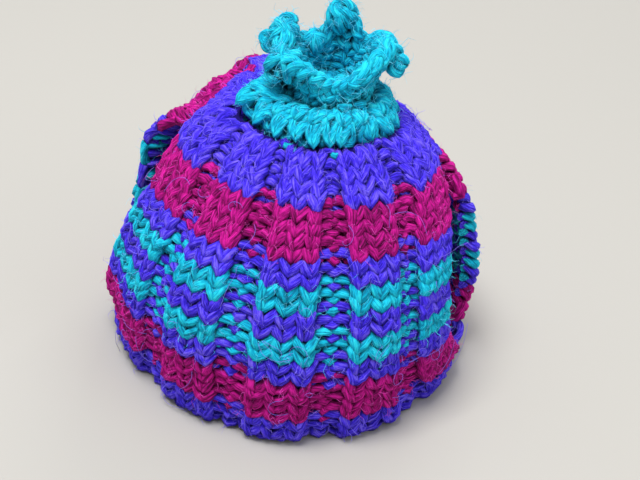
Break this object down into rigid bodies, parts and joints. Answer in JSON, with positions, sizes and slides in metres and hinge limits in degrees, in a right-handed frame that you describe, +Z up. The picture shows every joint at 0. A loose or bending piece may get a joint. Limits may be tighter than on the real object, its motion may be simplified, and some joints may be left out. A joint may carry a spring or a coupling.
{
  "type": "tea cosy",
  "caption": "Knitted ribbed tea cosy: striped front and back panels open at the sides for spout and handle, closed by a crocheted collar and flower.",
  "frame": {"origin": "centre of the hem, on the plane it rests on", "axes": "+Z up through the flower, -Y out through the front panel, -X out through the spout slit, +X out through the handle slit"},
  "size_m": [0.1573, 0.1529, 0.1541],
  "materials": {
    "striped_wool": "matt fuzzy wool yarn, violet with magenta and teal stripes",
    "teal_wool": "matt fuzzy wool yarn, teal"
  },
  "bodies": {
    "root": {"front_panel": "striped_wool", "back_panel": "striped_wool", "crown_collar": "teal_wool", "crown_flower": "teal_wool"}
  },
  "joints": []
}
